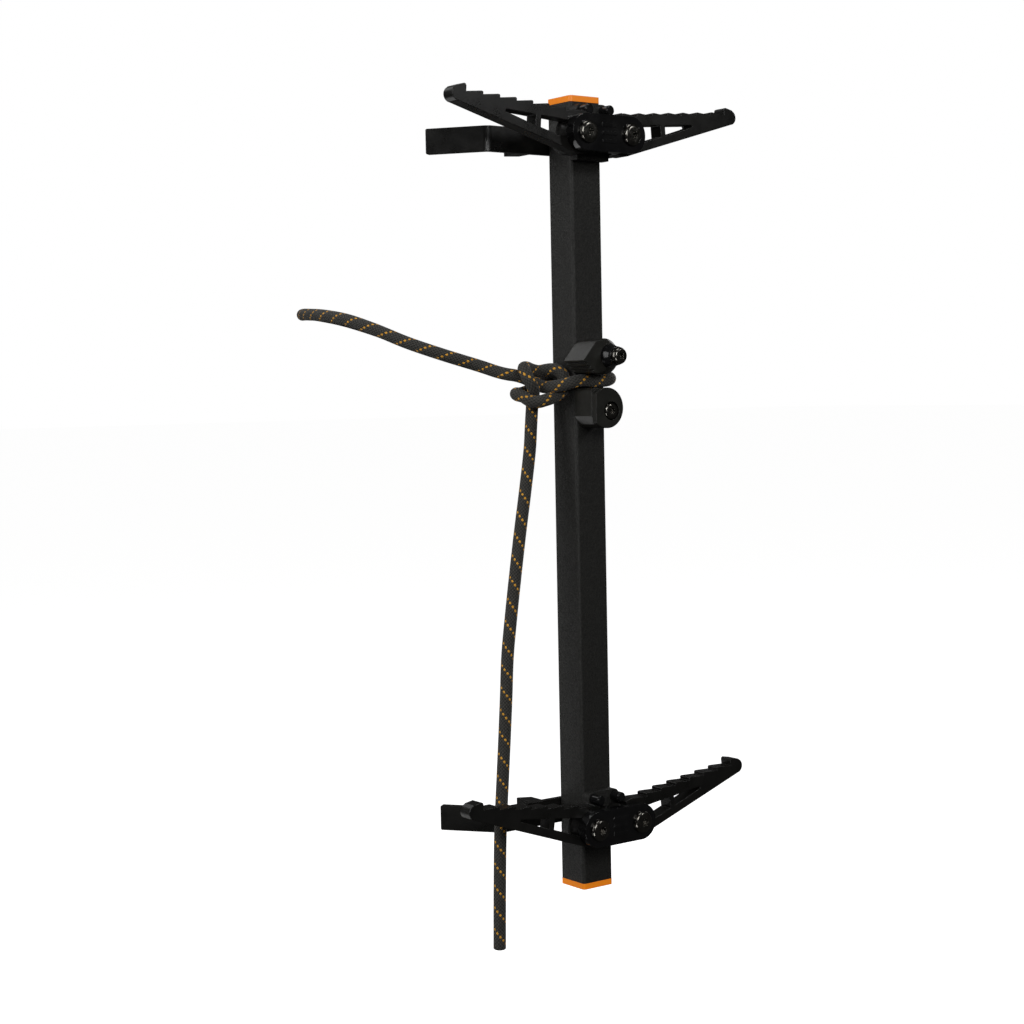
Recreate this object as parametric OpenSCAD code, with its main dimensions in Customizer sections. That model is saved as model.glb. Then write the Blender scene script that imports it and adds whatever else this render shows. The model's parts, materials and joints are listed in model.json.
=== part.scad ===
// Climbing stick: a square tube with two pairs of folding step arms, two
// brackets that bear on the trunk, and a rope that is gripped by two cams.
// Lengths are in millimetres. +Z is up, and -Y is the climber's side.
// The origin is on the plane where the spurs bear on the trunk, midway up the tube.

/* [Tube] */
// Overall length of the stick, end caps included
stick_l = 508; // [500:1:560]
// Outer width of the square tube
tube_w = 24; // [23:0.5:25]
// Wall thickness of the tube
tube_wall = 1.6; // [1.2:0.1:2]
// Outer corner radius of the tube
tube_r = 2; // [1:0.5:3]
// Visible thickness of each end cap
cap_lip = 3.8; // [3:0.1:5]
// Length of the plug that holds each end cap
cap_plug = 16; // [10:1:18]

/* [Step arms] */
// Height of the lower pivots above the stick's foot
low_pivot_z = 44.4; // [44:0.2:46]
// Distance from the lower pivots to the upper pivots
pivot_rise = 437.6; // [430:0.2:438]
// Distance of each pivot from the centre of the stick
pivot_x = 17.5; // [17.4:0.1:17.8]
// Thickness of each arm
arm_t = 9.5; // [9:0.1:9.5]
// Lift of the upper arms above level, in degrees
high_lift = 4.5; // [4:0.1:8]
// Lift of the lower arms above level, in degrees
low_lift = 7.8; // [4:0.1:10]
// Distance between the teeth
tooth_pitch = 12.5; // [12:0.1:12.6]
// Drop of the step from one tooth to the next
tooth_drop = 2.2; // [1.5:0.1:2.4]

/* [Tree brackets] */
// Height of the flat bar
bar_h = 16; // [14:1:18]
// Thickness of the flat bar
bar_t = 4; // [3:0.5:4]
// Half width of the straight part of the bar
bar_half = 59; // [56:1:62]
// Angle by which each wing is bent towards the trunk
wing_bend = 52.9; // [45:0.1:55]
// Length of each wing from the bend to its tip
wing_l = 41.4; // [35:0.1:44]
// Reach of the spurs from the tube's back to the trunk
spur_reach = 19; // [17:0.5:20]

/* [Rope cams] */
// Height of the upper cam's bolt above the stick's foot
high_cam_z = 343.5; // [343:0.1:344]
// Height of the lower cam's bolt above the stick's foot
low_cam_z = 309; // [308.5:0.1:309.5]
// Diameter of the rope
rope_d = 8; // [7:0.1:8]

/* [Hidden] */
$fn = 96;
half_w = tube_w / 2;
bore_w = tube_w - 2 * tube_wall;
high_pivot_z = low_pivot_z + pivot_rise;
low_bar_z = 48.5;
high_bar_z = 481;
tree_gap = half_w + spur_reach;

// Layers of a pivot, counted forward from the tube's centre
bracket_t = 6.9;
bracket_front = half_w + bracket_t;
arm_gap = 0.3;
arm_back = bracket_front + arm_gap;
arm_front = arm_back + arm_t;
plate_back = arm_front + arm_gap;
plate_t = 7;
plate_front = plate_back + plate_t;

bolt_r = 3.97;
bolt_head_r = 6.95;
bolt_head_h = 3;
sleeve_r = 5.5;
running_fit = 0.05;
bush_r = 7;
insert_r = 5.5;
washer_r = 8.75;
washer_t = 1.1;
plate_r = 11.5;
pin_r = 3.25;
pin_x = 8.4;
pin_rise = 15.8;
pin_front = 27;
m6_r = 3;
m6_hole_r = 3.1;
m6_head_r = 5.4;
rivet_x = 8.4;
rivet_r = 1.6;

// An arm's outline, with its pivot at the origin
hub_r = 12.7;
tooth_z = 14.6;
teeth = 6;
crown_r = 14.5;
heel_r = 17;
under_slope = 11.45;
tip_x = 92.8;
tip_z = 10.6;
tip_r = 4.65;
lip_h = 17;

// Spurs and wings
spur_w = 9;
spur_out = 33;
spur_slant = 4;
bend_in = 3;
bend_out = bend_in + bar_t;
bend_x = bar_half - bend_out * tan(wing_bend / 2);
stub_l = 31;

// Cams
cam_back = half_w + 0.3;
high_cam_front = 32.5;
high_hub_front = 27;
high_collar_front = 40;
collar_r = 7.6;
collar_l = high_collar_front - high_cam_front - 0.3;
low_cam_front = 29.5;
low_flange_front = 33.5;
low_disc = [-3.5, 2];
low_disc_r = 12.8;
cam_sleeve_r = 4.5;
cam_r = 11.35;
spring_pocket_r = 8.2;
spring_pocket_l = 4.6;
spring_mean_r = 6.6;
wire_r = 0.5;

// ---- shared shapes ----

// Moves a shape that is drawn from the stick's foot into the part's frame
module at_stick() {
    translate([0, -tree_gap, -stick_l / 2]) children();
}

// A flat profile drawn in X and Z, given thickness from front to back
module slab(front, back) {
    translate([0, -back, 0]) rotate([90, 0, 0]) linear_extrude(front - back) children();
}

// A round bar along Y
module rod(front, back, radius) {
    slab(front, back) circle(radius);
}

module round_square(width, radius) {
    square([width, width - 2 * radius], center = true);
    square([width - 2 * radius, width], center = true);
    for (x = [-1, 1], y = [-1, 1])
        translate([x, y] * (width / 2 - radius)) circle(radius);
}

module obround(half_centres, radius) {
    square([2 * half_centres, 2 * radius], center = true);
    for (x = [-1, 1]) translate([x * half_centres, 0]) circle(radius);
}

module both_sides(x) {
    for (side = [-1, 1]) translate([side * x, 0, 0]) children();
}

// A button-head bolt along Y, its head's underside at front
module button_bolt(front, back, radius, head_radius, head_height) {
    rod(front, back, radius);
    translate([0, -front, 0]) rotate([90, 0, 0]) difference() {
        rotate_extrude() difference() {
            square([head_radius, head_height]);
            translate([head_radius * 0.62, head_height * 0.34]) difference() {
                square(head_radius);
                scale([1, head_height * 0.66 / (head_radius * 0.38)]) circle(head_radius * 0.38);
            }
        }
        translate([0, 0, head_height * 0.3]) linear_extrude(head_height) {
            circle(head_radius * 0.3);
            for (a = [0:60:300]) rotate(a) translate([head_radius * 0.29, 0]) circle(head_radius * 0.1);
        }
    }
}

module lock_nut(front, flats, height, radius) {
    slab(-front, -(front + height * 0.72)) difference() {
        circle(flats / 2 / cos(30), $fn = 6);
        circle(radius);
    }
    slab(-(front + height * 0.72), -(front + height)) difference() {
        circle(flats * 0.44);
        circle(radius);
    }
}

// ---- tube and caps ----

module tube() {
    color("#2b2c2e") at_stick() difference() {
        translate([0, 0, cap_lip]) linear_extrude(stick_l - 2 * cap_lip) difference() {
            round_square(tube_w, tube_r);
            round_square(bore_w, tube_r / 4);
        }
        for (z = [low_bar_z, high_bar_z, low_cam_z, high_cam_z])
            translate([0, 0, z]) rod(tube_w, -tube_w, m6_hole_r);
        for (z = [low_bar_z, high_bar_z], x = [-1, 1])
            translate([x * rivet_x, 0, z]) rod(-half_w / 2, -tube_w, rivet_r);
        translate([half_w, 0, rope[1][2]]) rotate([0, 90, 0]) cylinder(h = 9, r = 5.2, center = true);
    }
}

module cap() {
    linear_extrude(cap_lip) round_square(tube_w + 0.2, tube_r + 0.1);
    translate([0, 0, cap_lip]) linear_extrude(cap_plug) difference() {
        round_square(bore_w - 0.4, tube_r / 2);
        round_square(bore_w - 4, tube_r / 2);
    }
    for (z = [5, 11]) translate([0, 0, cap_lip + z]) linear_extrude(1.2) difference() {
        round_square(bore_w, tube_r / 4);
        round_square(bore_w - 1, tube_r / 2);
    }
}

module cap_top() {
    color("#e0621c") at_stick() translate([0, 0, stick_l]) mirror([0, 0, 1]) cap();
}

module cap_bottom() {
    color("#e0621c") at_stick() cap();
}

// ---- pivots ----

module rear_bracket(bolt_z) {
    difference() {
        slab(bracket_front, half_w) {
            obround(pivot_x, plate_r + 0.6);
            square([2 * (pin_x + pin_r + 1), 2 * 16], center = true);
            both_sides(pin_x) translate([0, 16]) circle(pin_r + 1);
            square([2 * pin_x, 2 * (17 + pin_r)], center = true);
            translate([0, -17]) obround(pin_x, pin_r + 1);
        }
        slab(tube_w, half_w) translate([-20, -25]) square([40, 10]);
        both_sides(pivot_x) rod(tube_w, 0, insert_r);
        both_sides(pin_x) translate([0, 0, pin_rise]) rod(tube_w, 0, pin_r);
        translate([0, 0, bolt_z]) {
            rod(tube_w, 0, m6_hole_r);
            rod(tube_w, bracket_front - 4, m6_head_r + 0.6);
        }
    }
}

module rear_bracket_top() {
    color("#232426") at_stick() translate([0, 0, high_pivot_z]) rear_bracket(high_bar_z - high_pivot_z);
}

module rear_bracket_bottom() {
    color("#232426") at_stick() translate([0, 0, low_pivot_z]) rear_bracket(low_bar_z - low_pivot_z);
}

// The plate's face has three plain raised bars between the bolts
module front_plate() {
    difference() {
        slab(plate_front, plate_back) obround(pivot_x, plate_r);
        both_sides(pivot_x) rod(tube_w * 2, 0, bolt_r + 0.1);
    }
    for (z = [-5, 0, 5]) translate([0, 0, z]) slab(plate_front + 0.35, plate_front) obround(5, 1.1);
}

module front_plate_top() {
    color("#141415") at_stick() translate([0, 0, high_pivot_z]) front_plate();
}

module front_plate_bottom() {
    color("#141415") at_stick() translate([0, 0, low_pivot_z]) front_plate();
}

module pivot_bolts() {
    both_sides(pivot_x) button_bolt(plate_front, half_w + 0.4, bolt_r, bolt_head_r, bolt_head_h);
}

module pivot_bolts_top() {
    color("#1c1c1d") at_stick() translate([0, 0, high_pivot_z]) pivot_bolts();
}

module pivot_bolts_bottom() {
    color("#1c1c1d") at_stick() translate([0, 0, low_pivot_z]) pivot_bolts();
}

module ring(front, back, outer, inner) {
    slab(front, back) difference() {
        circle(outer);
        circle(inner);
    }
}

module pivot_sleeves() {
    both_sides(pivot_x) ring(plate_back, bracket_front, sleeve_r, bolt_r + 0.08);
}

module pivot_sleeves_top() {
    color("#9a9c9e") at_stick() translate([0, 0, high_pivot_z]) pivot_sleeves();
}

module pivot_sleeves_bottom() {
    color("#9a9c9e") at_stick() translate([0, 0, low_pivot_z]) pivot_sleeves();
}

module pivot_inserts() {
    both_sides(pivot_x) ring(bracket_front, half_w + 0.2, insert_r, bolt_r);
}

module pivot_inserts_top() {
    color("#8d8f91") at_stick() translate([0, 0, high_pivot_z]) pivot_inserts();
}

module pivot_inserts_bottom() {
    color("#8d8f91") at_stick() translate([0, 0, low_pivot_z]) pivot_inserts();
}

module friction_washers() {
    both_sides(pivot_x) ring(bracket_front + washer_t, bracket_front, washer_r, sleeve_r + 0.1);
}

module friction_washers_top() {
    color("#d8d6cf") at_stick() translate([0, 0, high_pivot_z]) friction_washers();
}

module friction_washers_bottom() {
    color("#d8d6cf") at_stick() translate([0, 0, low_pivot_z]) friction_washers();
}

module stop_pins() {
    both_sides(pin_x) translate([0, 0, pin_rise]) {
        rod(pin_front - 0.6, half_w, pin_r);
        rod(pin_front, half_w, pin_r - 0.5);
    }
}

module stop_pins_top() {
    color("#3a3b3d") at_stick() translate([0, 0, high_pivot_z]) stop_pins();
}

module stop_pins_bottom() {
    color("#3a3b3d") at_stick() translate([0, 0, low_pivot_z]) stop_pins();
}

// ---- step arms ----

// The toothed edge, from the tip inward: each tooth slopes up to a rounded corner, with a step below it
function tooth(k) = [for (p = [[tooth_pitch, tooth_drop], [1.6, 0.3], [0.6, 0.35], [0.15, 0.7], [0, 1.2]])
    [k * tooth_pitch + p[0], tooth_z - p[1]]];
function toothed_edge() = [for (k = [teeth:-1:0], p = tooth(k)) p];

module arm_profile() {
    under = [sin(under_slope), -cos(under_slope)];
    lip_x = (teeth + 1) * tooth_pitch;
    difference() {
        union() {
            circle(hub_r);
            translate([tip_x, tip_z]) circle(tip_r);
            polygon(concat([[0, 0], under * (hub_r - 0.06), [tip_x, tip_z] + under * (tip_r - 0.06),
                [tip_x, tip_z], [tip_x + 4.2, tip_z + 1.6], [lip_x + 7.2, lip_h - 1.8],
                [lip_x + 1.6, lip_h], [lip_x + 0.5, lip_h - 0.4], [lip_x, lip_h - 1.4]], toothed_edge()));
            intersection() {
                circle(crown_r);
                polygon([[0, 0], [0, 20], [-8, 20]]);
            }
            intersection() {
                circle(heel_r);
                polygon([[0, 0], [cos(126), sin(126)] * 24, [-24, 8], [-17.2, 0], [-12, -4.2]]);
            }
        }
        circle(bush_r);
        difference() {
            polygon([[6, 6.4], [31, 6.4], [31, -0.9], [9, -5.3], [6, -5.3]]);
            circle(hub_r - 2.2);
        }
        polygon([[35, -0.3], [55.9, 4.3], [57.4, 5], [57.4, 6.2], [35, 6.2]]);
        translate([57.2, 5.3]) circle(0.9);
    }
}

// An arm that points right, level, with its pivot on the Y axis
module arm() {
    difference() {
        slab(arm_front, arm_back) arm_profile();
        rod(bracket_front + washer_t + arm_gap, 0, washer_r + arm_gap);
    }
}

module arm_bush() {
    ring(arm_front, bracket_front + washer_t + arm_gap, bush_r, sleeve_r + running_fit);
}

module at_right(z, lift) {
    at_stick() translate([pivot_x, 0, z]) rotate([0, -lift, 0]) children();
}

module arm_top_right() {
    color("#252628") at_right(high_pivot_z, high_lift) arm();
}

module arm_top_left() {
    color("#252628") mirror([1, 0, 0]) at_right(high_pivot_z, high_lift) arm();
}

module arm_bottom_right() {
    color("#252628") at_right(low_pivot_z, low_lift) arm();
}

module arm_bottom_left() {
    color("#252628") mirror([1, 0, 0]) at_right(low_pivot_z, low_lift) arm();
}

module bush_top_right() {
    color("#b9b6ab") at_right(high_pivot_z, high_lift) arm_bush();
}

module bush_top_left() {
    color("#b9b6ab") mirror([1, 0, 0]) at_right(high_pivot_z, high_lift) arm_bush();
}

module bush_bottom_right() {
    color("#b9b6ab") at_right(low_pivot_z, low_lift) arm_bush();
}

module bush_bottom_left() {
    color("#b9b6ab") mirror([1, 0, 0]) at_right(low_pivot_z, low_lift) arm_bush();
}

// ---- tree brackets ----

// The flat bar, and the bend at its far end
module bar() {
    translate([-stub_l, half_w, -bar_h / 2]) cube([stub_l + bend_x, bar_t, bar_h]);
    translate([bend_x, half_w + bend_out, 0]) rotate(-90) rotate_extrude(angle = wing_bend)
        translate([bend_in, -bar_h / 2]) square([bar_t, bar_h]);
}

module wing() {
    reach = wing_l - bend_out * tan(wing_bend / 2);
    corner = 1;
    inner_h = bar_h - 2 * corner;
    translate([bend_x, half_w + bend_out, 0]) rotate(wing_bend) translate([0, -bend_in, 0])
        slab(bar_t, 0) {
            translate([0, -bar_h / 2]) square([reach - corner, bar_h]);
            translate([0, -inner_h / 2]) square([reach, inner_h]);
            for (z = [-1, 1]) translate([reach - corner, z * inner_h / 2]) circle(corner);
        }
}

module tree_bracket() {
    difference() {
        mirror([1, 0, 0]) {
            bar();
            wing();
        }
        rod(tube_w, -tube_w, m6_hole_r);
        both_sides(rivet_x) rod(0, -tube_w, rivet_r);
    }
}

module spur(outer) {
    tip = half_w + spur_reach;
    inner = outer - spur_w;
    translate([0, 0, -bar_h / 2]) linear_extrude(bar_h)
        polygon([[inner, half_w + bar_t], [outer, half_w + bar_t], [outer, tip],
            [outer - 1.2, tip], [inner, tip - spur_slant]]);
}

module spurs() {
    spur(stub_l);
    mirror([1, 0, 0]) spur(spur_out);
}

module tree_bracket_top() {
    color("#1d1d1f") at_stick() translate([0, 0, high_bar_z]) tree_bracket();
}

module tree_bracket_bottom() {
    color("#1d1d1f") at_stick() translate([0, 0, low_bar_z]) tree_bracket();
}

module spurs_top() {
    color("#1d1d1f") at_stick() translate([0, 0, high_bar_z]) spurs();
}

module spurs_bottom() {
    color("#1d1d1f") at_stick() translate([0, 0, low_bar_z]) spurs();
}

module bracket_rivets() {
    both_sides(rivet_x) {
        rod(-half_w + tube_wall + 1, -half_w - bar_t, rivet_r);
        translate([0, half_w + bar_t, 0]) rotate([-90, 0, 0]) cylinder(h = 1, r1 = 2.7, r2 = 2);
    }
}

module bracket_rivets_top() {
    color("#4a4b4d") at_stick() translate([0, 0, high_bar_z]) bracket_rivets();
}

module bracket_rivets_bottom() {
    color("#4a4b4d") at_stick() translate([0, 0, low_bar_z]) bracket_rivets();
}

module at_brackets() {
    at_stick() for (z = [low_bar_z, high_bar_z]) translate([0, 0, z]) children();
}

module through_bolts() {
    color("#2e2f31") at_brackets()
        button_bolt(bracket_front - 4, -(half_w + bar_t + 7.6), m6_r, m6_head_r, 3.3);
}

module through_washers() {
    color("#8d8f91") at_brackets() ring(-half_w - bar_t, -half_w - bar_t - 1.2, 5.6, m6_hole_r);
}

module through_nuts() {
    color("#8d8f91") at_brackets() lock_nut(half_w + bar_t + 1.2, 10, 5.6, m6_r);
}

// ---- rope cams ----

// The lower edge of the nose: three teeth that grip the rope, with a groove above each
nose_edge = [[-21.2, -2.5], [-20.9, -3.4], [-18.2, -3.6], [-18.2, -4.5], [-19.4, -4.7], [-18.6, -5.9],
    [-15.8, -5.9], [-15.8, -6.8], [-16.8, -7], [-15.9, -8.2], [-13.2, -8.2], [-13.2, -9], [-14, -9.2],
    [-12.9, -10.2], [-9, -10.8]];

// The upper cam: a tapered hub, with a nose that presses on the rope
module cam_upper() {
    color("#2a2b2d") at_stick() translate([0, 0, high_cam_z]) difference() {
        union() {
            slab(high_cam_front, cam_back) polygon(concat([[-3, 10.9], [-10.7, 9.5]], nose_edge, [[-3, -9]]));
            rod(high_hub_front, cam_back, cam_r);
            translate([0, -high_hub_front, 0]) rotate([90, 0, 0])
                cylinder(h = high_cam_front - high_hub_front, r1 = cam_r, r2 = collar_r + 0.3);
        }
        rod(50, 0, cam_sleeve_r + running_fit);
        rod(cam_back + spring_pocket_l, 0, spring_pocket_r);
    }
}

module cam_lower() {
    color("#2a2b2d") at_stick() translate([0, 0, low_cam_z]) difference() {
        union() {
            slab(low_cam_front, cam_back) {
                intersection() {
                    translate(low_disc) circle(low_disc_r);
                    translate([-2, -20]) square([20, 40]);
                }
                polygon([[-1, 14.6], [-11.6, 14.6], [-12.9, 13.4], [-12.9, -3], [-9.6, -8.3], [-6, -10.4],
                    [-1, -10.4]]);
            }
            slab(low_flange_front, low_cam_front) intersection() {
                translate(low_disc) circle(low_disc_r);
                translate([-12.4, -20]) square([40, 40]);
            }
        }
        rod(50, 0, cam_sleeve_r + running_fit);
        rod(50, low_flange_front - 2.4, m6_head_r + 0.5);
        rod(cam_back + spring_pocket_l, 0, spring_pocket_r);
    }
}

module cam_bolt_upper() {
    color("#1c1c1d") at_stick() translate([0, 0, high_cam_z])
        button_bolt(high_collar_front, -half_w - 7.5, m6_r, m6_head_r, 4.2);
}

module cam_bolt_lower() {
    color("#1c1c1d") at_stick() translate([0, 0, low_cam_z])
        button_bolt(low_flange_front - 2.1, -half_w - 7.5, m6_r, m6_head_r, 2.6);
}

module cam_collar() {
    color("#303133") at_stick() translate([0, -high_cam_front - 0.3, high_cam_z]) rotate([90, 0, 0])
        rotate_extrude() polygon([[m6_hole_r, 0], [collar_r, 0], [7.3, 1.6], [6.6, 3.6], [5.9, 5.2],
            [5.9, collar_l], [m6_hole_r, collar_l]]);
}

module cam_sleeve_upper() {
    color("#9a9c9e") at_stick() translate([0, 0, high_cam_z])
        ring(high_cam_front + 0.3, half_w, cam_sleeve_r, m6_hole_r);
}

module cam_sleeve_lower() {
    color("#9a9c9e") at_stick() translate([0, 0, low_cam_z])
        ring(low_flange_front - 2.1, half_w, cam_sleeve_r, m6_hole_r);
}

// Three turns of wire round the sleeve
module cam_spring() {
    for (k = [0:2]) translate([0, -half_w - wire_r - 0.2 - k * 2.1 * wire_r, 0]) rotate([90, 0, 0])
        rotate_extrude() translate([spring_mean_r, 0]) circle(wire_r, $fn = 16);
}

module cam_spring_upper() {
    color("#a7a9ab") at_stick() translate([0, 0, high_cam_z]) cam_spring();
}

module cam_spring_lower() {
    color("#a7a9ab") at_stick() translate([0, 0, low_cam_z]) cam_spring();
}

module at_cams() {
    at_stick() for (z = [low_cam_z, high_cam_z]) translate([0, 0, z]) children();
}

module cam_washers() {
    color("#8d8f91") at_cams() ring(-half_w, -half_w - 1, 5.6, m6_hole_r);
}

module cam_nuts() {
    color("#8d8f91") at_cams() lock_nut(half_w + 1, 10, 5.6, m6_r);
}

// ---- rope ----

// The trunk that the rope goes round, and the rope's heights by angle round it
trunk_r = 105;
trunk_y = 131.3;
trunk_x = -2;
wrap_r = trunk_r + rope_d / 2;
leaving = [[-2, 0, 319], [12, 0, 318], [20, 3, 317.5], [29, 10.5, 317], [50, 30, 316.5]];
wrap = [[-47, 316], [-30, 317], [-15, 319], [0, 322], [15, 326.5], [30, 333], [45, 341], [60, 350.5],
    [75, 360], [90, 369.5], [105, 376], [120, 379], [135, 379.5], [150, 378], [165, 377], [180, 375],
    [193, 371], [205, 364], [217, 355], [229, 347]];
through_hitch = [[-51.5, 36, 339], [-44, 27, 335], [-40.5, 22, 333.5], [-36, 18.5, 332.5], [-32, 14, 330.5],
    [-29, 9, 327.5], [-26.5, 2.5, 325], [-24.5, -5.5, 325], [-21, -11.5, 326]];
between_cams = [[-17, -15.5, 327.5], [-11, -17.2, 328.5], [-4, -17.6, 328], [4, -17.6, 328],
    [10, -17.2, 328.5], [14.6, -14.4, 329.5], [16.6, -9, 330.5], [16.8, -2, 331], [16.8, 7, 330.5],
    [15.8, 13, 330], [11.5, 16.8, 330], [3, 17, 330], [-6, 17, 330], [-13, 17, 329.5]];
half_hitch = [[-20, 17.5, 325.5], [-27, 18.5, 322.5], [-33.5, 18, 321], [-38.5, 15.5, 321], [-40.5, 11, 320],
    [-39.5, 6.5, 319], [-38, 2, 316.5], [-34.5, -1.5, 315.5], [-30, -3.5, 316.5], [-24.5, -4, 318],
    [-20, -4.5, 320], [-17, -5, 323], [-16.2, -5.5, 327.5], [-16.5, -5, 332], [-18, -2.5, 335],
    [-20.5, 1.5, 336], [-23, 5.5, 335.5], [-25, 9, 335], [-28.5, 11.5, 336], [-33, 11.5, 337.5],
    [-36.5, 9.5, 337], [-38, 5.5, 333.5], [-37, 3, 329], [-35, 2.5, 325], [-32.5, 5, 321], [-31, 8, 317.5]];
tail = [[-30.5, 9.5, 312], [-32, 9, 300], [-34, 8, 286], [-39.5, 6.5, 259], [-45, 5.5, 232.5],
    [-50.5, 4, 206], [-56, 2, 180], [-60, 1, 156], [-62.5, 0, 130], [-64.5, 0, 103], [-66.5, 0, 78],
    [-69, 0, 46], [-70.5, 0, 8], [-71.5, 0, -29.5]];
function round_trunk(w) = [trunk_x + (wrap_r + trunk_x) * cos(w[0]), trunk_y + wrap_r * sin(w[0]), w[1]];
rope = concat(leaving, [for (w = wrap) round_trunk(w)], through_hitch, between_cams, half_hitch, tail);

function unit(v) = v / norm(v);
function heading(p, i) = unit(p[min(i + 1, len(p) - 1)] - p[max(i - 1, 0)]);
function upright(v, t) = unit(v - (v * t) * t);
function carried(p, i) =
    i == 0 ? upright([0, 0, 1], heading(p, 0)) : upright(carried(p, i - 1), heading(p, i));

// A closed tube swept along points, its rings carried from one to the next without twist
module swept_tube(p, radius, sides) {
    last = len(p) - 1;
    points = [for (i = [0:last]) let (t = heading(p, i), n = carried(p, i), b = cross(t, n))
        for (k = [0:sides - 1]) p[i] + radius * (cos(360 * k / sides) * n + sin(360 * k / sides) * b)];
    skin = [for (i = [0:last - 1], k = [0:sides - 1]) let (a = i * sides + k, b = i * sides + (k + 1) % sides)
        each [[a, b, b + sides], [a, b + sides, a + sides]]];
    ends = [[for (k = [sides - 1:-1:0]) k], [for (k = [0:sides - 1]) last * sides + k]];
    polyhedron(points, concat(skin, ends));
}

module rope() {
    color("#18181a") at_stick() swept_tube(rope, rope_d / 2, 8);
}

module rope_stopper() {
    color("#18181a") at_stick() translate([-3, 0, 322]) rotate([0, 90, 0]) rotate_extrude() {
        translate([0, -4]) square([8.6, 8]);
        translate([0, -7]) square([5.6, 14]);
        for (y = [-1, 1]) translate([5.6, y * 4]) circle(3, $fn = 32);
    }
}

// The melted skin on the cut end of the tail
module rope_end() {
    end = tail[len(tail) - 1];
    color("#18181a") at_stick() translate([end[0], end[1], end[2] - 1]) difference() {
        cylinder(h = 4, r = rope_d / 2 + 0.2);
        translate([0, 0, 1]) cylinder(h = 20, r = rope_d / 2);
    }
}

tube();
cap_top();
cap_bottom();
rear_bracket_top();
rear_bracket_bottom();
front_plate_top();
front_plate_bottom();
pivot_bolts_top();
pivot_bolts_bottom();
pivot_sleeves_top();
pivot_sleeves_bottom();
pivot_inserts_top();
pivot_inserts_bottom();
friction_washers_top();
friction_washers_bottom();
stop_pins_top();
stop_pins_bottom();
arm_top_left();
arm_top_right();
arm_bottom_left();
arm_bottom_right();
bush_top_left();
bush_top_right();
bush_bottom_left();
bush_bottom_right();
tree_bracket_top();
tree_bracket_bottom();
spurs_top();
spurs_bottom();
bracket_rivets_top();
bracket_rivets_bottom();
through_bolts();
through_washers();
through_nuts();
cam_upper();
cam_lower();
cam_bolt_upper();
cam_bolt_lower();
cam_collar();
cam_sleeve_upper();
cam_sleeve_lower();
cam_spring_upper();
cam_spring_lower();
cam_washers();
cam_nuts();
rope();
rope_stopper();
rope_end();
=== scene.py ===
"""Looks for the climbing stick with its rope cam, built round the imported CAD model."""

import json
import math

import bpy
from mathutils import Matrix, Vector


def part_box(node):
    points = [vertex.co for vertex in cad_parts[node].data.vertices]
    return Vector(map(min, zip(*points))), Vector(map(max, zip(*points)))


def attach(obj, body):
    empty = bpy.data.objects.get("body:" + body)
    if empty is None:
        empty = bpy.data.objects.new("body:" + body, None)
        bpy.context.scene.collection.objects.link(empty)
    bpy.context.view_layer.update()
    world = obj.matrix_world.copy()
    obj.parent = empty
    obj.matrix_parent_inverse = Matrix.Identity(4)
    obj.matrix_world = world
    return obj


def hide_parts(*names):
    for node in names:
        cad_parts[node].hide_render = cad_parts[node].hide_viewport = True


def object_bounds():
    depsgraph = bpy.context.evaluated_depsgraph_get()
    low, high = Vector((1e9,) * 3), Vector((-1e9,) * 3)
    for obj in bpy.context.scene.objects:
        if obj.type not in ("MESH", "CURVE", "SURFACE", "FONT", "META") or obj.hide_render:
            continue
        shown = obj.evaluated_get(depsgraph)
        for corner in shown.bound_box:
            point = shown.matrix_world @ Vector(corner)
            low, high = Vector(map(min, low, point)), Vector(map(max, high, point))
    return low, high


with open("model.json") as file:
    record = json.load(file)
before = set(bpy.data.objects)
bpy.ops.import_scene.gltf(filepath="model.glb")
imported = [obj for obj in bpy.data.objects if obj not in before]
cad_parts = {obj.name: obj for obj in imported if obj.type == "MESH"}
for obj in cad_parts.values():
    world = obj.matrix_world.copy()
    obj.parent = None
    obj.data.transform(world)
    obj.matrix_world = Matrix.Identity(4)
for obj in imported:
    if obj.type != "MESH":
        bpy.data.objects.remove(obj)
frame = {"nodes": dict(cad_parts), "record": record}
cad_bounds = [list(corner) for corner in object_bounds()]

MM = 0.001
TUBE_LOW, TUBE_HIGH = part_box("tube")
CAP_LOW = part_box("cap_bottom")[0]
# The rope's route is given from the tube's centre line and the stick's foot
FOOT = Vector(((TUBE_LOW.x + TUBE_HIGH.x) / 2, (TUBE_LOW.y + TUBE_HIGH.y) / 2, CAP_LOW.z))


# ---- camera ----

CAMERA_FROM_FOOT = Vector((-0.7654, -0.9641, 0.3236))
CAMERA_YAW = 0.635
CAMERA_PITCH = 0.0641
CAMERA_ROLL = -0.0198
CAMERA_LENS = 67.0
SENSOR_WIDTH = 36


def make_camera():
    ahead = Vector((math.sin(CAMERA_YAW) * math.cos(CAMERA_PITCH),
                    math.cos(CAMERA_YAW) * math.cos(CAMERA_PITCH), -math.sin(CAMERA_PITCH)))
    level_right = ahead.cross(Vector((0, 0, 1))).normalized()
    level_up = level_right.cross(ahead)
    right = level_right * math.cos(CAMERA_ROLL) + level_up * math.sin(CAMERA_ROLL)
    up = level_up * math.cos(CAMERA_ROLL) - level_right * math.sin(CAMERA_ROLL)
    data = bpy.data.cameras.new("camera")
    data.lens = CAMERA_LENS
    data.sensor_width = SENSOR_WIDTH
    camera = bpy.data.objects.new("camera", data)
    turn = Matrix((right, up, -ahead)).transposed().to_4x4()
    camera.matrix_world = Matrix.Translation(FOOT + CAMERA_FROM_FOOT) @ turn
    bpy.context.scene.collection.objects.link(camera)
    bpy.context.scene.camera = camera


make_camera()


# ---- rope ----

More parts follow.
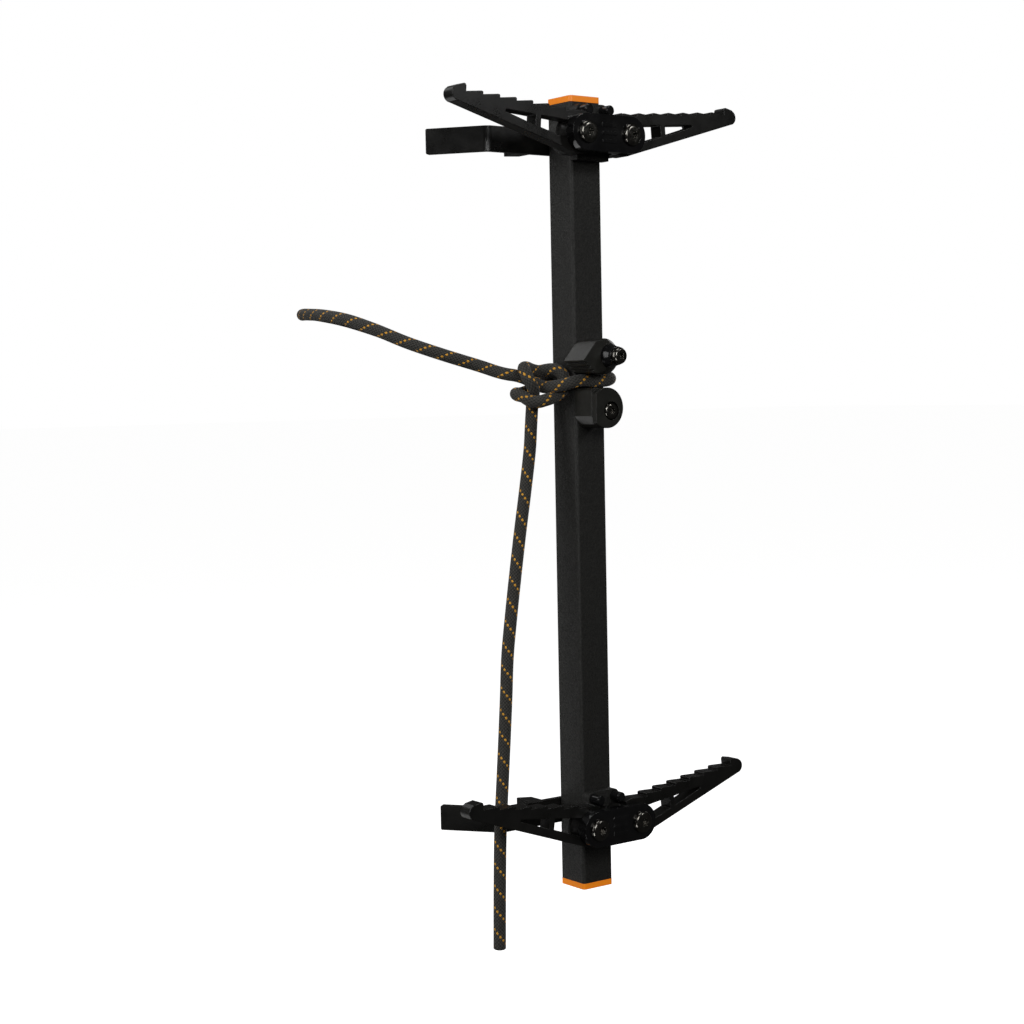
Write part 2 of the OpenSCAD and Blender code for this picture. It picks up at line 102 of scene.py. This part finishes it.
# The route's points are in millimetres, from the foot; the wrap's are degrees round the trunk, and heights
ROPE_D = 8 * MM
TRUNK_R = 105
TRUNK_Y = 131.3
TRUNK_X = -2
WRAP_R = TRUNK_R + 4
LEAVING = [[-2, 0, 319], [12, 0, 318], [20, 3, 317.5], [29, 10.5, 317], [50, 30, 316.5]]
WRAP = [
    [-47, 316], [-30, 317], [-15, 319], [0, 322], [15, 326.5], [30, 333], [45, 341], [60, 350.5],
    [75, 360], [90, 369.5], [105, 376], [120, 379], [135, 379.5], [150, 378], [165, 377], [180, 375],
    [193, 371], [205, 364], [217, 355], [229, 347]]
THROUGH_HITCH = [
    [-51.5, 36, 339], [-44, 27, 335], [-40.5, 22, 333.5], [-36, 18.5, 332.5], [-32, 14, 330.5],
    [-29, 9, 327.5], [-26.5, 2.5, 325], [-24.5, -5.5, 325], [-21, -11.5, 326]]
BETWEEN_CAMS = [
    [-17, -15.5, 327.5], [-11, -17.2, 328.5], [-4, -17.6, 328], [4, -17.6, 328], [10, -17.2, 328.5],
    [14.6, -14.4, 329.5], [16.6, -9, 330.5], [16.8, -2, 331], [16.8, 7, 330.5], [15.8, 13, 330],
    [11.5, 16.8, 330], [3, 17, 330], [-6, 17, 330], [-13, 17, 329.5]]
HALF_HITCH = [
    [-20, 17.5, 325.5], [-27, 18.5, 322.5], [-33.5, 18, 321], [-38.5, 15.5, 321], [-40.5, 11, 320],
    [-39.5, 6.5, 319], [-38, 2, 316.5], [-34.5, -1.5, 315.5], [-30, -3.5, 316.5], [-24.5, -4, 318],
    [-20, -4.5, 320], [-17, -5, 323], [-16.2, -5.5, 327.5], [-16.5, -5, 332], [-18, -2.5, 335],
    [-20.5, 1.5, 336], [-23, 5.5, 335.5], [-25, 9, 335], [-28.5, 11.5, 336], [-33, 11.5, 337.5],
    [-36.5, 9.5, 337], [-38, 5.5, 333.5], [-37, 3, 329], [-35, 2.5, 325], [-32.5, 5, 321], [-31, 8, 317.5]]
TAIL = [
    [-30.5, 9.5, 312], [-32, 9, 300], [-34, 8, 286], [-39.5, 6.5, 259], [-45, 5.5, 232.5],
    [-50.5, 4, 206], [-56, 2, 180], [-60, 1, 156], [-62.5, 0, 130], [-64.5, 0, 103], [-66.5, 0, 78],
    [-69, 0, 46], [-70.5, 0, 8], [-71.5, 0, -29.5]]


def round_trunk(degrees, height):
    angle = math.radians(degrees)
    return [TRUNK_X + (WRAP_R + TRUNK_X) * math.cos(angle), TRUNK_Y + WRAP_R * math.sin(angle), height]


def rope_points():
    """The route's points in the part's frame, in metres."""
    wrapped = [round_trunk(*point) for point in WRAP]
    route = LEAVING + wrapped + THROUGH_HITCH + BETWEEN_CAMS + HALF_HITCH + TAIL
    return [FOOT + Vector(p) * MM for p in route]


def smooth(points, step):
    """Points at equal steps along a centripetal spline through the given points."""
    ends = [2 * points[0] - points[1]] + points + [2 * points[-1] - points[-2]]
    fine = []
    for i in range(len(points) - 1):
        a, b, c, d = ends[i:i + 4]
        t1 = max((b - a).length, 1e-6) ** 0.5
        t2 = t1 + max((c - b).length, 1e-6) ** 0.5
        t3 = t2 + max((d - c).length, 1e-6) ** 0.5
        count = max(4, int((c - b).length / step * 2))
        for k in range(count):
            t = t1 + (t2 - t1) * k / count
            ab = a.lerp(b, t / t1)
            bc = b.lerp(c, (t - t1) / (t2 - t1))
            cd = c.lerp(d, (t - t2) / (t3 - t2))
            abc = ab.lerp(bc, t / t2)
            bcd = bc.lerp(cd, (t - t1) / (t3 - t1))
            fine.append(abc.lerp(bcd, (t - t1) / (t2 - t1)))
    fine.append(points[-1])
    lengths = [0.0]
    for p, q in zip(fine, fine[1:]):
        lengths.append(lengths[-1] + (q - p).length)
    total = lengths[-1]
    steps = round(total / step)
    even, j = [], 0
    for k in range(steps + 1):
        want = total * k / steps
        while j < len(fine) - 2 and lengths[j + 1] < want:
            j += 1
        share = (want - lengths[j]) / max(lengths[j + 1] - lengths[j], 1e-9)
        even.append(fine[j].lerp(fine[j + 1], min(max(share, 0), 1)))
    return even, total


def carried_frames(points):
    """A tangent and two side directions at each point, carried along without twist."""
    frames, side = [], None
    for i in range(len(points)):
        tangent = (points[min(i + 1, len(points) - 1)] - points[max(i - 1, 0)]).normalized()
        if side is None:
            side = tangent.orthogonal()
        side = (side - tangent * side.dot(tangent)).normalized()
        frames.append((tangent, side, tangent.cross(side)))
    return frames


ROPE_STEP = 1.0 * MM
ROPE_SIDES = 40


def make_rope():
    path, total = smooth(rope_points(), ROPE_STEP)
    frames = carried_frames(path)
    verts, faces, coords = [], [], []
    radius = ROPE_D / 2
    for p, (_, side, other) in zip(path, frames):
        for k in range(ROPE_SIDES):
            angle = 2 * math.pi * k / ROPE_SIDES
            verts.append(p + (side * math.cos(angle) + other * math.sin(angle)) * radius)
    for i in range(len(path) - 1):
        for k in range(ROPE_SIDES):
            a, b = i * ROPE_SIDES + k, i * ROPE_SIDES + (k + 1) % ROPE_SIDES
            faces.append((a, b, b + ROPE_SIDES, a + ROPE_SIDES))
            along0, along1 = total * i / (len(path) - 1), total * (i + 1) / (len(path) - 1)
            round0, round1 = k / ROPE_SIDES, (k + 1) / ROPE_SIDES
            coords += [(round0, along0), (round1, along0), (round1, along1), (round0, along1)]
    # The cut end: rings that close in on the centre, slightly domed
    last = (len(path) - 1) * ROPE_SIDES
    tangent, side, other = frames[-1]
    base = last
    for share, out in ((0.86, 0.5), (0.55, 0.9), (0.2, 1.0)):
        start = len(verts)
        for k in range(ROPE_SIDES):
            angle = 2 * math.pi * k / ROPE_SIDES
            verts.append(path[-1] + tangent * out * MM
                         + (side * math.cos(angle) + other * math.sin(angle)) * radius * share)
        for k in range(ROPE_SIDES):
            n = (k + 1) % ROPE_SIDES
            faces.append((base + k, base + n, start + n, start + k))
            coords += [(k / ROPE_SIDES, total + out * MM)] * 4
        base = start
    faces.append(tuple(base + k for k in range(ROPE_SIDES)))
    coords += [(0.0, total + 2 * MM)] * ROPE_SIDES
    mesh = bpy.data.meshes.new("braided_rope")
    mesh.from_pydata(verts, [], faces)
    layer = mesh.uv_layers.new(name="braid")
    for loop, uv in zip(layer.data, coords):
        loop.uv = uv
    mesh.shade_smooth()
    piece = bpy.data.objects.new("braided_rope", mesh)
    bpy.context.scene.collection.objects.link(piece)
    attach(piece, "stick")
    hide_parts("rope", "rope_end")
    return piece


rope = make_rope()


# ---- materials ----

def new_material(name):
    material = bpy.data.materials.new(name)
    material.use_nodes = True
    tree = material.node_tree
    return material, tree, tree.nodes["Principled BSDF"]


def node(tree, kind, **values):
    made = tree.nodes.new(kind)
    for key, value in values.items():
        setattr(made, key, value)
    return made


def noise(tree, scale, detail=4.0, roughness=0.6):
    coords = node(tree, "ShaderNodeTexCoord")
    made = node(tree, "ShaderNodeTexNoise")
    made.inputs["Scale"].default_value = scale
    made.inputs["Detail"].default_value = detail
    made.inputs["Roughness"].default_value = roughness
    tree.links.new(coords.outputs["Object"], made.inputs["Vector"])
    return made.outputs["Fac"]


def ramp(tree, source, stops):
    made = node(tree, "ShaderNodeValToRGB")
    points = made.color_ramp.elements
    while len(points) < len(stops):
        points.new(0.5)
    for point, (place, shade) in zip(points, stops):
        point.position = place
        point.color = (*shade, 1) if hasattr(shade, "__len__") else (shade, shade, shade, 1)
    tree.links.new(source, made.inputs["Fac"])
    return made.outputs["Color"]


def maths(tree, operation, a, b=None, c=None):
    made = node(tree, "ShaderNodeMath", operation=operation)
    for socket, value in zip(made.inputs, (a, b, c)):
        if value is None:
            continue
        if isinstance(value, (int, float)):
            socket.default_value = value
        else:
            tree.links.new(value, socket)
    return made.outputs[0]


def bump(tree, shader, height, strength, distance, edge=0.0):
    made = node(tree, "ShaderNodeBump")
    made.inputs["Strength"].default_value = strength
    made.inputs["Distance"].default_value = distance
    tree.links.new(height, made.inputs["Height"])
    if edge:
        soft = node(tree, "ShaderNodeBevel")
        soft.samples = 6
        soft.inputs["Radius"].default_value = edge
        tree.links.new(soft.outputs["Normal"], made.inputs["Normal"])
    tree.links.new(made.outputs["Normal"], shader.inputs["Normal"])


def powder_coat():
    """Matt black with a fine orange-peel grain, as on the tube."""
    material, tree, shader = new_material("powder_coat")
    grain = noise(tree, 900, 3, 0.7)
    shader.inputs["Specular IOR Level"].default_value = 0.5
    tree.links.new(ramp(tree, grain, [(0.35, (0.006, 0.006, 0.005)), (0.7, (0.022, 0.022, 0.019))]),
                   shader.inputs["Base Color"])
    tree.links.new(ramp(tree, grain, [(0.3, 0.66), (0.75, 0.34)]), shader.inputs["Roughness"])
    bump(tree, shader, grain, 0.8, 0.0006, 0.0006)
    return material


def satin_black():
    """Smooth semi-gloss paint on the arms, brackets and spurs, a little uneven."""
    material, tree, shader = new_material("satin_black")
    broad = noise(tree, 60, 5, 0.6)
    fine = noise(tree, 1400, 2, 0.5)
    tree.links.new(ramp(tree, broad, [(0.3, (0.005, 0.005, 0.0045)), (0.75, (0.012, 0.0115, 0.0105))]),
                   shader.inputs["Base Color"])
    tree.links.new(ramp(tree, broad, [(0.3, 0.24), (0.7, 0.36)]), shader.inputs["Roughness"])
    bump(tree, shader, fine, 0.12, 0.0002, 0.0008)
    return material


def gloss_black():
    material, tree, shader = new_material("gloss_black")
    broad = noise(tree, 90, 4, 0.6)
    tree.links.new(ramp(tree, broad, [(0.3, (0.004, 0.004, 0.0045)), (0.75, (0.009, 0.009, 0.0095))]),
                   shader.inputs["Base Color"])
    tree.links.new(ramp(tree, broad, [(0.3, 0.1), (0.7, 0.2)]), shader.inputs["Roughness"])
    bump(tree, shader, broad, 0.05, 0.0003, 0.0005)
    return material


def black_steel():
    """Bright blackened steel on the bolt heads, which mirrors the soft boxes."""
    material, tree, shader = new_material("black_steel")
    broad = noise(tree, 400, 4, 0.6)
    shader.inputs["Metallic"].default_value = 1.0
    tree.links.new(ramp(tree, broad, [(0.3, (0.1, 0.095, 0.085)), (0.7, (0.17, 0.165, 0.15))]),
                   shader.inputs["Base Color"])
    tree.links.new(ramp(tree, broad, [(0.3, 0.12), (0.7, 0.26)]), shader.inputs["Roughness"])
    bump(tree, shader, broad, 0.06, 0.0002, 0.0004)
    return material


def cam_black():
    """Semi-matt hard coat on the cams, with a fine grain."""
    material, tree, shader = new_material("cam_black")
    grain = noise(tree, 700, 4, 0.65)
    broad = noise(tree, 120, 4, 0.6)
    tree.links.new(ramp(tree, broad, [(0.3, (0.012, 0.012, 0.01)), (0.75, (0.024, 0.024, 0.02))]),
                   shader.inputs["Base Color"])
    tree.links.new(ramp(tree, grain, [(0.3, 0.28), (0.7, 0.42)]), shader.inputs["Roughness"])
    bump(tree, shader, grain, 0.12, 0.0002, 0.0006)
    return material


def zinc_steel():
    material, tree, shader = new_material("zinc_steel")
    broad = noise(tree, 200, 4, 0.6)
    shader.inputs["Metallic"].default_value = 1.0
    tree.links.new(ramp(tree, broad, [(0.3, (0.4, 0.41, 0.43)), (0.7, (0.55, 0.56, 0.58))]),
                   shader.inputs["Base Color"])
    tree.links.new(ramp(tree, broad, [(0.3, 0.28), (0.7, 0.42)]), shader.inputs["Roughness"])
    bump(tree, shader, broad, 0.05, 0.0002, 0.0003)
    return material


def plastic(name, dark, light, low_gloss, high_gloss, glow=0.0):
    """Moulded plastic. A glow is not physical: it only lifts the colour to the brightness wanted."""
    material, tree, shader = new_material(name)
    grain = noise(tree, 500, 3, 0.6)
    tree.links.new(ramp(tree, grain, [(0.3, dark), (0.75, light)]), shader.inputs["Base Color"])
    tree.links.new(ramp(tree, grain, [(0.3, low_gloss), (0.75, high_gloss)]), shader.inputs["Roughness"])
    bump(tree, shader, grain, 0.06, 0.0002, 0.0005)
    if glow:
        shader.inputs["Emission Color"].default_value = (*light, 1)
        shader.inputs["Emission Strength"].default_value = glow
    return material


YARNS = 12                # yarns in each direction round the braid
BRAID_PITCH = 27.8 * MM   # length of one full turn of a yarn


def pressed(tree, over, under):
    """A yarn's height where it crosses another: half of it follows the yarn below."""
    share = maths(tree, "ADD", maths(tree, "MULTIPLY", under, 0.5), 0.5)
    return maths(tree, "MULTIPLY", over, share)


def braided_cord():
    """Two sets of yarns wound opposite ways, over and under each other, with two orange tracer yarns."""
    material, tree, shader = new_material("braided_cord")
    coords = node(tree, "ShaderNodeUVMap", uv_map="braid")
    split = node(tree, "ShaderNodeSeparateXYZ")
    tree.links.new(coords.outputs["UV"], split.inputs[0])
    around = split.outputs["X"]
    turns = maths(tree, "DIVIDE", split.outputs["Y"], BRAID_PITCH)
    left = maths(tree, "MULTIPLY", maths(tree, "ADD", around, turns), YARNS)
    right = maths(tree, "MULTIPLY", maths(tree, "SUBTRACT", around, turns), YARNS)
    left_cell, right_cell = maths(tree, "FLOOR", left), maths(tree, "FLOOR", right)
    left_part, right_part = maths(tree, "FRACT", left), maths(tree, "FRACT", right)
    # Over-and-under: the left yarn is on top where the two counts add up to an even number
    odd = maths(tree, "PINGPONG", maths(tree, "ADD", left_cell, right_cell), 1.0)
    left_round = maths(tree, "SINE", maths(tree, "MULTIPLY", left_part, math.pi))
    right_round = maths(tree, "SINE", maths(tree, "MULTIPLY", right_part, math.pi))
    even = maths(tree, "SUBTRACT", 1.0, odd)
    left_top = maths(tree, "MULTIPLY", even, pressed(tree, left_round, right_round))
    right_top = maths(tree, "MULTIPLY", odd, pressed(tree, right_round, left_round))
    height = maths(tree, "POWER", maths(tree, "ADD", left_top, right_top), 0.6)
    # The tracers are two opposite yarns of the left set, seen where they are on top
    tracer_step = maths(tree, "FLOORED_MODULO", left_cell, YARNS / 2)
    tracer = maths(tree, "MULTIPLY", maths(tree, "LESS_THAN", tracer_step, 0.5), even)
    tracer = maths(tree, "MULTIPLY", tracer, maths(tree, "GREATER_THAN", height, 0.35))
    fibre = noise(tree, 5000, 3, 0.7)
    # The black yarns' colour follows their height: painted shade down in the gaps between yarns and a
    # painted highlight on their tops, with a random fibre tone on top of that
    black_with_painted_shade = ramp(tree, maths(tree, "MULTIPLY", height, maths(tree, "ADD", fibre, 0.4)),
                 [(0.25, (0.0025, 0.0025, 0.002)), (0.9, (0.07, 0.066, 0.056))])
    orange = ramp(tree, fibre, [(0.2, (0.8, 0.34, 0.02)), (0.8, (1.0, 0.55, 0.06))])
    mix = node(tree, "ShaderNodeMix", data_type="RGBA")
    tree.links.new(tracer, mix.inputs["Factor"])
    tree.links.new(black_with_painted_shade, mix.inputs[6])
    tree.links.new(orange, mix.inputs[7])
    tree.links.new(mix.outputs[2], shader.inputs["Base Color"])
    tree.links.new(ramp(tree, fibre, [(0.2, 0.85), (0.8, 0.6)]), shader.inputs["Roughness"])
    shader.inputs["Sheen Weight"].default_value = 0.15
    bump(tree, shader, height, 0.9, 0.0005)
    return material


def assign(materials):
    slots = {p["node"]: p["material_slot"] for p in frame["record"]["subparts"]}
    for name, part in frame["nodes"].items():
        part.data.materials.clear()
        part.data.materials.append(materials[slots[name]])


MATERIALS = {
    "powder_coat": powder_coat(),
    "satin_black": satin_black(),
    "gloss_black": gloss_black(),
    "black_steel": black_steel(),
    "cam_black": cam_black(),
    "zinc_steel": zinc_steel(),
    "bush_plastic": plastic("bush_plastic", (0.45, 0.43, 0.38), (0.6, 0.58, 0.52), 0.5, 0.6),
    "orange_plastic": plastic("orange_plastic", (0.85, 0.21, 0.008), (0.95, 0.27, 0.012), 0.35, 0.45, 0.32),
    "black_rope": braided_cord(),
}
assign(MATERIALS)
rope.data.materials.append(MATERIALS["black_rope"])


# ---- surroundings ----

ROOM_LIGHT = 0.035
FLOOR_HALF = 40
FLOOR_DROP = 0.3
FLOOR_GLOW = 0.96
# Name, place, size in metres and power in watts of each soft box
STUDIO = (
    ("left", (-1.9, 0.5, 0.5), (1.2, 1.8), 16),
    ("front", (-0.7, -2.1, 0.8), (0.8, 1.0), 14),
    ("glint", (0.9, -1.5, 0.9), (0.12, 0.3), 3),
    ("spark", (-0.9, -1.3, 0.5), (0.08, 0.08), 1.5),
    ("low", (-1.1, -0.9, -1.1), (0.6, 0.6), 6),
    ("top", (0.0, -0.4, 2.3), (1.0, 1.0), 9),
    ("back", (-0.3, 1.9, 1.4), (1.0, 1.0), 3),
    ("low_back", (-0.2, 1.9, -1.1), (1.6, 0.8), 4),
    ("right", (1.9, 0.9, 0.4), (0.8, 1.4), 8),
)


def make_floor():
    """A wide pale floor, well under the hanging stick."""
    low = cad_bounds[0][2] - FLOOR_DROP
    corners = [(x * FLOOR_HALF, y * FLOOR_HALF, low) for x, y in ((-1, -1), (1, -1), (1, 1), (-1, 1))]
    mesh = bpy.data.meshes.new("floor")
    mesh.from_pydata(corners, [], [(0, 1, 2, 3)])
    floor = bpy.data.objects.new("floor", mesh)
    bpy.context.scene.collection.objects.link(floor)
    material, tree, shader = new_material("floor")
    shader.inputs["Base Color"].default_value = (0.8, 0.8, 0.8, 1)
    shader.inputs["Roughness"].default_value = 1.0
    shader.inputs["Specular IOR Level"].default_value = 0.0
    shader.inputs["Emission Color"].default_value = (1, 1, 1, 1)
    shader.inputs["Emission Strength"].default_value = FLOOR_GLOW
    mesh.materials.append(material)
    floor.visible_diffuse = False
    floor.visible_glossy = False


def area_light(name, place, aim, size, power):
    data = bpy.data.lights.new(name, "AREA")
    data.shape = "RECTANGLE"
    data.size, data.size_y = size
    data.energy = power
    light = bpy.data.objects.new(name, data)
    light.location = place
    light.rotation_euler = (Vector(aim) - Vector(place)).to_track_quat("-Z", "Y").to_euler()
    bpy.context.scene.collection.objects.link(light)


def make_lights():
    world = bpy.data.worlds.new("studio")
    bpy.context.scene.world = world
    world.use_nodes = True
    tree = world.node_tree
    # The room is white to look at, and dim to light the stick with
    white = tree.nodes["Background"]
    white.inputs["Color"].default_value = (1, 1, 1, 1)
    dim = node(tree, "ShaderNodeBackground")
    dim.inputs["Color"].default_value = (1.0, 0.99, 0.96, 1)
    dim.inputs["Strength"].default_value = ROOM_LIGHT
    ray = node(tree, "ShaderNodeLightPath")
    mix = node(tree, "ShaderNodeMixShader")
    tree.links.new(ray.outputs["Is Camera Ray"], mix.inputs["Fac"])
    tree.links.new(dim.outputs[0], mix.inputs[1])
    tree.links.new(white.outputs[0], mix.inputs[2])
    tree.links.new(mix.outputs[0], tree.nodes["World Output"].inputs["Surface"])
    for name, place, size, power in STUDIO:
        area_light(name, place, (0, 0, 0), size, power)


make_floor()
make_lights()
scene = bpy.context.scene
scene.view_settings.view_transform = "Standard"
